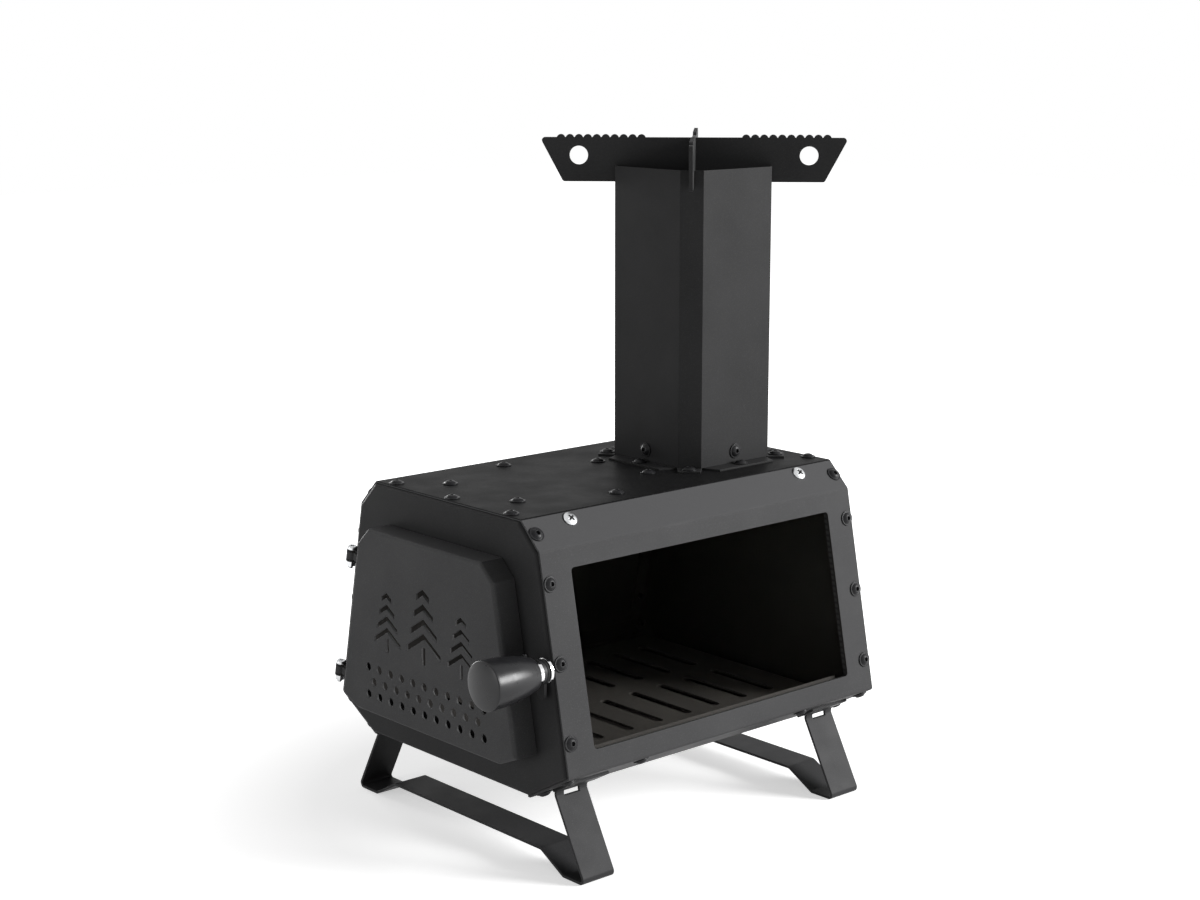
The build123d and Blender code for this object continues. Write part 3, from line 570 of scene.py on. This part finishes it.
# %% Sweep and spin
def sweep(shape, path, radii, sides):
    """A closed tube through the points, in metres, with a radius at each."""
    rings = []
    across = None
    for index, point in enumerate(path):
        before = path[max(index - 1, 0)]
        after = path[min(index + 1, len(path) - 1)]
        way = (after - before).normalized()
        if across is None:
            across = way.orthogonal().normalized()
        across = (across - way * across.dot(way)).normalized()
        other = way.cross(across)

        def on_ring(angle):
            offset = across * math.cos(angle) + other * math.sin(angle)
            return point + offset * radii[index]

        rings.append(add_ring(shape, sides, on_ring))
    for first, second in zip(rings, rings[1:]):
        skin(shape, first, second)
    shape.faces.new(rings[0])
    shape.faces.new(rings[-1])


def spin(shape, centre, way, profile, sides):
    """A closed form spun from (radius, height) points, in mm, about a line."""
    turn = way.to_track_quat("Z", "Y")
    rings = []
    for radius, height in profile:
        if radius == 0.0:
            rings.append([shape.verts.new(centre + way * height * mm)] * sides)
            continue

        def on_ring(angle):
            point = Vector((radius * math.cos(angle), radius * math.sin(angle), height))
            return centre + turn @ (point * mm)

        rings.append(add_ring(shape, sides, on_ring))
    for first, second in zip(rings, rings[1:]):
        skin(shape, first, second)


# %% [markdown]
# ## The grip
#
# The knob's grip is a barrel: full and round near its domed end, drawn in only close
# to the neck ring, with a crisp rim where the dome starts. The solid has straight
# sides for a simple mould. Here we spin the fuller outline, from a curve that rises
# fast and then levels, and let it stand for the solid.

# %% Knob grip
grip_start = 13.5
grip_length = 43.0
grip_neck_radius = 12.0
grip_neck_chamfer = 0.5
grip_neck_rise = 0.3
grip_full_radius = 18.3
grip_swell = 2.3
grip_rim_radius = 17.5
grip_rim = [(grip_full_radius - 0.05, 0.3), (grip_full_radius - 0.3, 0.6)]
grip_rim_height = 0.8
grip_dome = 2.2
side_steps = 26
dome_steps = 10
grip_sides = 72
knob_centre = Vector(joints["latch_turn"]["pos_m"])
knob_way = Vector((-1.0, 0.0, 0.0))


def grip_profile():
    """Radius and height, from the neck over the swelling side to the dome's top."""
    points = [(0.0, grip_start), (grip_neck_radius - grip_neck_chamfer, grip_start)]
    for step in range(side_steps + 1):
        share = step / side_steps
        swell = 1.0 - (1.0 - share) ** grip_swell
        radius = grip_neck_radius + (grip_full_radius - grip_neck_radius) * swell
        rise = grip_neck_rise + (grip_length - grip_neck_rise) * share
        points.append((radius, grip_start + rise))
    end = grip_start + grip_length
    points += [(radius, end + rise) for radius, rise in grip_rim]
    dome_foot = end + grip_rim_height
    for step in range(dome_steps):
        radius = grip_rim_radius * (1.0 - step / dome_steps)
        rise = grip_dome * (1.0 - (radius / grip_rim_radius) ** 2)
        points.append((radius, dome_foot + rise))
    points.append((0.0, dome_foot + grip_dome))
    return points


grip = make_piece(
    "knob_barrel_grip",
    lambda shape: spin(shape, knob_centre, knob_way, grip_profile(), grip_sides),
    grip_black, "latch",
)
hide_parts("knob_grip")

# %% [markdown]
# ## The bright window screws
#
# Two wide pan-head screws hold the glass at the top. Their heads are the brightest
# spots of the stove, so their shape shows: a low dome with a round shoulder and a
# cross that tapers as it goes down. A cross is awkward to spin, so we spin the
# head and take a tapered cross away from it with a Boolean, then keep the result.
# First come the sizes and the cutter, in the screw's own frame, in millimetres.

# %% The head's outline and the cross
head_profile = [
    (0.0, -9.0), (2.0, -9.0), (2.0, 0.0), (5.7, 0.0), (5.7, 0.5), (5.55, 1.0),
    (5.2, 1.4), (4.6, 1.75), (3.6, 2.1), (2.4, 2.35), (1.2, 2.45), (0.0, 2.5),
]
head_sides = 48
cross_foot = (1.3, 0.45, 0.5)
cross_top = (3.3, 0.85, 2.7)
cross_turn = 0.5


def cross_outline(reach, half, height):
    """Twelve corners of a cross with arms of this reach and half width."""
    corners = [(reach, -half), (reach, half), (half, half)]
    points = []
    for quarter in range(4):
        turn = Matrix.Rotation(quarter * math.pi / 2, 2)
        for corner in corners:
            x, y = turn @ Vector(corner)
            points.append(Vector((x, y, height)))
    return points


def cross_cutter(shape, place):
    """The tapered cross, a little past the head's top."""
    low, high = (
        [shape.verts.new(place @ (point * mm)) for point in cross_outline(*end)]
        for end in (cross_foot, cross_top)
    )
    skin(shape, low, high)
    shape.faces.new(list(reversed(low)))
    shape.faces.new(high)


print("screw head", 2 * head_profile[3][0], "mm wide,", head_profile[-1][1], "mm high")

# %% [markdown]
# ## Cutting the cross and darkening it
#
# Shade and dirt collect in a recess, and a bright head without them reads as a blank
# disc. So the faces of the cross get a second, dark metal: painted shade, with some
# dirt. They are found by place: close to the middle, below the head's surface, and
# either upright or at the foot.

# %% Bright pan-head screws
crease = math.radians(35)
recess_radius = 3.4 * mm
recess_low, recess_high = 0.2 * mm, 2.3 * mm
recess_foot = 0.8 * mm
upright_limit = 0.8
# Painted shade, with some dirt: a dark metal for the faces of the cross.
recess_shade_and_dirt = bright_metal("recess_shade_and_dirt", (0.09, 0.09, 0.09), 0.6, 0.3)


def cut_head(name, seat, way, place):
    """The spun head with its cross taken away, as one plain mesh."""
    head = put_in_scene(
        name + "_head",
        build_mesh(name + "_head", lambda s: spin(s, seat, way, head_profile, head_sides)),
    )
    cutter = put_in_scene(
        name + "_cutter", build_mesh(name + "_cutter", lambda s: cross_cutter(s, place))
    )
    cut = head.modifiers.new("cross", "BOOLEAN")
    cut.operation = "DIFFERENCE"
    cut.object = cutter
    graph = bpy.context.evaluated_depsgraph_get()
    mesh = bpy.data.meshes.new_from_object(head.evaluated_get(graph))
    mesh.name = name
    for extra in (head, cutter):
        bpy.data.objects.remove(extra)
    return mesh


def darken_cross(mesh, into_head):
    """Gives the faces of the recess the second material."""
    mesh.materials.clear()
    mesh.materials.append(zinc)
    mesh.materials.append(recess_shade_and_dirt)
    for face in mesh.polygons:
        spot = into_head @ face.center
        near = math.hypot(spot.x, spot.y) < recess_radius
        inside = near and recess_low < spot.z < recess_high
        upright = abs((into_head.to_3x3() @ face.normal).z) < upright_limit
        face.material_index = 1 if inside and (upright or spot.z < recess_foot) else 0


def cross_head_screw(name, seat, way):
    """A finished screw on its seat, its head towards the way given."""
    turn = way.to_track_quat("Z", "Y").to_matrix().to_4x4()
    place = Matrix.Translation(seat) @ turn @ Matrix.Rotation(cross_turn, 4, "Z")
    mesh = cut_head(name, seat, way, place)
    darken_cross(mesh, place.inverted())
    screw = fix_to(put_in_scene(name, mesh), "stove")
    mesh.set_sharp_from_angle(angle=crease)
    return screw


screw_way = Vector((0.0, -1.0, 1.0)).normalized()
screw_low, screw_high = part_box("upper_glass_screws")
screw_seat = Vector((0.0, -0.0938033, 0.262697))
solid_radius = 4.0 * mm
for side, x in (
    ("door_side", screw_low[0] + solid_radius),
    ("chimney_side", screw_high[0] - solid_radius),
):
    seat = screw_seat + Vector((x, 0.0, 0.0))
    screw = cross_head_screw(f"window_screw_{side}", seat, screw_way)
    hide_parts("upper_glass_screws")

# %% [markdown]
# ## The hinge's own frame
#
# The door's two hinges lean with the end plate's slanted edge, so nothing on them is
# square to the model. Turning each detail by hand would be slow and easy to get
# wrong. We take the hinge line from the model's own joint and build in the hinge's
# frame: its Z runs up the bolt and its X points at the end plate.

# %% The hinge frames
hinge_axis = -Vector(joints["door_hinge"]["axis"])
hinge_centre = Vector(joints["door_hinge"]["pos_m"])
hinge_halfway_up = 97.0
hinge_heights = {"lower": 48.0, "upper": 146.0}


def hinge_frame(height):
    """The frame of the hinge at this height in millimetres along the joint."""
    along = (height - hinge_halfway_up) * mm / hinge_axis.z
    origin = hinge_centre + hinge_axis * along
    x_way = Vector((1.0, 0.0, 0.0))
    y_way = hinge_axis.cross(x_way)
    turn = Matrix((x_way, y_way, hinge_axis)).transposed()
    return Matrix.Translation(origin) @ turn.to_4x4()


hinge_frames = {name: hinge_frame(height) for name, height in hinge_heights.items()}
for name, place in hinge_frames.items():
    print("hinge", name, "at", [round(value, 4) for value in place.translation])

# %% [markdown]
# ## The welds
#
# Each hinge bracket is welded to the end plate before coating, round three sides of
# its foot. A weld is a rounded bead laid in a row of overlapping ripples. Carved
# noise would look like rust, so we sweep a tube whose radius swells and sinks along
# the way, and half of it sits in the corner between bracket and plate.

# %% Weld beads
standoff = 6.4
bracket_half = 5.05
bracket_inner = -7.744
bracket_outer = 0.756
bead_radius = 0.85
bead_proud = 0.25
bead_step = 0.2
ripple_length = 0.95
ripple_height = 0.13
bead_sides = 10
bead_end = 0.45
bead_closing = 9.0


def rippled(path_length, count):
    """Bead radii that swell and sink along the way, and close at both ends."""
    radii = []
    for index in range(count):
        share = index / (count - 1)
        phase = share * path_length / ripple_length * 2 * math.pi
        ripple = 1.0 + ripple_height * math.sin(phase)
        closed = min(1.0, bead_end + bead_closing * min(share, 1.0 - share))
        radii.append(bead_radius * mm * ripple * closed)
    return radii


def weld_path():
    """Round the bracket's foot, along its two ends and its inner side."""
    x = standoff - bead_proud
    high = bracket_half + bead_proud
    inner = bracket_inner - bead_proud
    outline = [(bracket_outer, high), (inner, high), (inner, -high), (bracket_outer, -high)]
    corners = [Vector((x, y, z)) for y, z in outline]
    points = []
    for first, second in zip(corners, corners[1:]):
        steps = max(2, int((second - first).length / bead_step))
        points += [first.lerp(second, step / steps) for step in range(steps)]
    return points + [corners[-1]]


weld_coat = powder_coat(
    "weld_powder_coat", (0.040, 0.040, 0.041), (0.050, 0.050, 0.051), 0.42
)
weld_points = weld_path()
weld_length = sum((b - a).length for a, b in zip(weld_points, weld_points[1:]))
weld_radii = rippled(weld_length, len(weld_points))
for side, place in hinge_frames.items():
    path = [place @ (point * mm) for point in weld_points]
    make_piece(
        f"bracket_weld_{side}",
        lambda shape, path=path: sweep(shape, path, weld_radii, bead_sides),
        weld_coat, "stove",
    )

# %% [markdown]
# ## The threads
#
# A bolt is told from a pin by its thread. Past the nut two or three turns show, so a
# thin tube wound on the bolt's surface is enough, and far cheaper than a whole
# thread hidden in the nut. Its ends taper off, as a cut thread runs out.

# %% Bolt threads
nut_end = -9.05
tail_end = -11.25
bolt_radius = 2.0
thread_pitch = 0.7
thread_radius = 0.24
thread_sunk = 0.04
thread_start = 0.05
thread_margin = 0.25
points_per_turn = 20
thread_end = 0.2
thread_closing = 12.0
thread_sides = 6


def thread_path():
    """A spiral down the bolt's tail, in the hinge's frame, in millimetres."""
    turns = (nut_end - tail_end - thread_margin) / thread_pitch
    count = int(turns * points_per_turn)
    reach = bolt_radius - thread_sunk
    points = []
    for index in range(count + 1):
        angle = 2 * math.pi * turns * index / count
        height = nut_end - thread_start - thread_pitch * turns * index / count
        points.append(Vector((reach * math.cos(angle), reach * math.sin(angle), height)))
    return points


def tapered(count):
    """Thread radii that run out at both ends."""
    radii = []
    for index in range(count):
        share = min(index, count - 1 - index) / count
        radii.append(thread_radius * mm * min(1.0, thread_end + thread_closing * share))
    return radii


thread_points = thread_path()
thread_radii = tapered(len(thread_points))
for side, place in hinge_frames.items():
    path = [place @ (point * mm) for point in thread_points]
    make_piece(
        f"bolt_thread_{side}",
        lambda shape, path=path: sweep(shape, path, thread_radii, thread_sides),
        zinc, "stove",
    )

# %% [markdown]
# ## The rivets
#
# The door's hinge leaves are riveted to the side of the door pan: two low domes
# each, closed flat on the leaf and coated with it. They are spun from one short
# curve, and they ride on the door, so that they swing with it.

# %% Hinge rivets
leaf_foot_out = -23.42
rivet_from_bolt = -5.4
rivet_heights = (-2.4, 2.4)
rivet_sides = 20
rivet_profile = [
    (0.0, -0.2), (1.76, -0.2), (1.76, 0.05), (1.66, 0.35),
    (1.4, 0.6), (1.0, 0.8), (0.5, 0.92), (0.0, 0.95),
]


def rivet_pair(shape, place):
    """Two rivets on one leaf's foot."""
    way = (place.to_3x3() @ Vector((0.0, 1.0, 0.0))).normalized()
    for height in rivet_heights:
        seat = place @ (Vector((rivet_from_bolt, leaf_foot_out, height)) * mm)
        spin(shape, seat, way, rivet_profile, rivet_sides)


for side, place in hinge_frames.items():
    make_piece(
        f"leaf_rivets_{side}",
        lambda shape, place=place: rivet_pair(shape, place),
        door_coat, "door",
    )

# %% [markdown]
# ## Floor
#
# The picture has a white ground with a soft grey shadow. A white that comes from
# more light would also wash out the stove, so the floor carries part of its white
# as emission that only the camera, mirrors and glass see. Near the stove it is just
# dim enough for the shadow to show; further out it rises to full white, and
# the floor melts into the background.

# %% Floor
floor_half = 6.0
floor_glow = 0.52
glow_span = (0.22, 0.46)


def light_seen(tree):
    """1 for what the camera sees straight, in metal or through glass, 0 for light."""
    path = tree.nodes.new("ShaderNodeLightPath")
    seen = path.outputs["Is Camera Ray"]
    for name in ("Is Glossy Ray", "Is Transmission Ray"):
        seen = add_math(tree, "MAXIMUM", seen, path.outputs[name])
    unscattered = add_math(tree, "LESS_THAN", path.outputs["Diffuse Depth"], 0.5)
    return add_math(tree, "MULTIPLY", seen, unscattered)


def white_floor():
    """White paper: dimmer close to the middle, full white past the glow's span."""
    material, tree, shader = new_material("white_floor")
    shader.inputs["Base Color"].default_value = (0.8, 0.8, 0.8, 1.0)
    shader.inputs["Roughness"].default_value = 0.8
    shader.inputs["Specular IOR Level"].default_value = 0.0
    shader.inputs["Emission Color"].default_value = (1.0, 1.0, 1.0, 1.0)
    place = tree.nodes.new("ShaderNodeTexCoord")
    distance = tree.nodes.new("ShaderNodeVectorMath")
    distance.operation = "LENGTH"
    tree.links.new(place.outputs["Object"], distance.inputs[0])
    glow = add_range(tree, distance.outputs["Value"], floor_glow, 1.0, glow_span)
    shown = add_math(tree, "MULTIPLY", glow, light_seen(tree))
    join(tree, shown, shader.inputs["Emission Strength"])
    return material


def make_floor(half):
    """A square sheet under the stove that is part of the stage, not of the stove."""
    mesh = bpy.data.meshes.new("floor")
    shape = bmesh.new()
    bmesh.ops.create_grid(shape, x_segments=1, y_segments=1, size=half)
    shape.to_mesh(mesh)
    shape.free()
    mesh.materials.append(white_floor())
    floor = put_in_scene("floor", mesh)
    print("floor", 2 * half, "m wide")


make_floor(floor_half)

# %% [markdown]
# ## Lights
#
# The window side of the stove is its brightest, the door end its darkest, and every
# shadow is soft. So one large lamp stands in front of the window, to the right and
# above. A weak one keeps the door readable, and a third behind the stove keeps the
# far side from going black when we walk round it. None of them shows through glass.


# %% Lights
def area_light(name, place, size, power):
    """A rectangular lamp that looks at the middle of the stove."""
    lamp = bpy.data.lights.new(name, "AREA")
    lamp.shape = "RECTANGLE"
    lamp.size, lamp.size_y = size
    lamp.energy = power
    holder = put_in_scene(name, lamp)
    holder.location = place
    holder.rotation_mode = "QUATERNION"
    holder.visible_transmission = False
    holder.rotation_quaternion = (stove_middle - Vector(place)).to_track_quat("-Z", "Y")
    print(name, power, "W")


stove_middle = Vector((0.0, 0.0, 0.25))
area_light("window_light", (2.5, -2.7, 1.45), (1.5, 1.5), 250.0)
area_light("door_light", (-2.2, 0.35, 0.45), (1.0, 1.2), 14.0)
area_light("back_light", (0.1, 2.9, 0.6), (1.4, 1.0), 60.0)

# %% [markdown]
# ## World
#
# The room round the stove is white, but as a light it would drown the lamps. As on
# the floor, we part what is seen from what shines: the camera, metal and glass meet
# full white, and the surfaces are lit by a dim one that fills the shadows.


# %% World
def light_world(seen, lit):
    """One white for what looks straight at it, and another as light."""
    world = bpy.data.worlds.new("studio")
    world.use_nodes = True
    tree = world.node_tree
    background = tree.nodes["Background"]
    background.inputs["Color"].default_value = (1.0, 1.0, 1.0, 1.0)
    strength = add_range(tree, light_seen(tree), lit, seen, (0.0, 1.0))
    tree.links.new(strength, background.inputs["Strength"])
    print("world seen at", seen, "and lit at", lit)
    return world


scene.world = light_world(seen=1.0, lit=0.2)

# %% [markdown]
# ## Camera
#
# The camera stands in front of the door's corner, a little above the stove, with a
# long lens, so that edges stay nearly parallel. Its place was fitted to the
# picture's own corners, and the picture is 1200 by 900.

# %% Camera
camera_place = Vector((-1.0935, -1.2515, 0.6191))
camera_yaw = 0.72444
camera_pitch = 0.19720

camera_data = bpy.data.cameras.new("camera")
camera_data.sensor_width = 36.0
camera_data.lens = 64.487
camera = put_in_scene("camera", camera_data)
camera.location = camera_place
camera.rotation_mode = "QUATERNION"
aim = Euler((math.pi / 2 - camera_pitch, 0.0, -camera_yaw))
camera.rotation_quaternion = aim.to_quaternion()
scene.camera = camera
scene.view_settings.view_transform = "Standard"
print("camera at", tuple(camera_place), "lens", camera_data.lens)
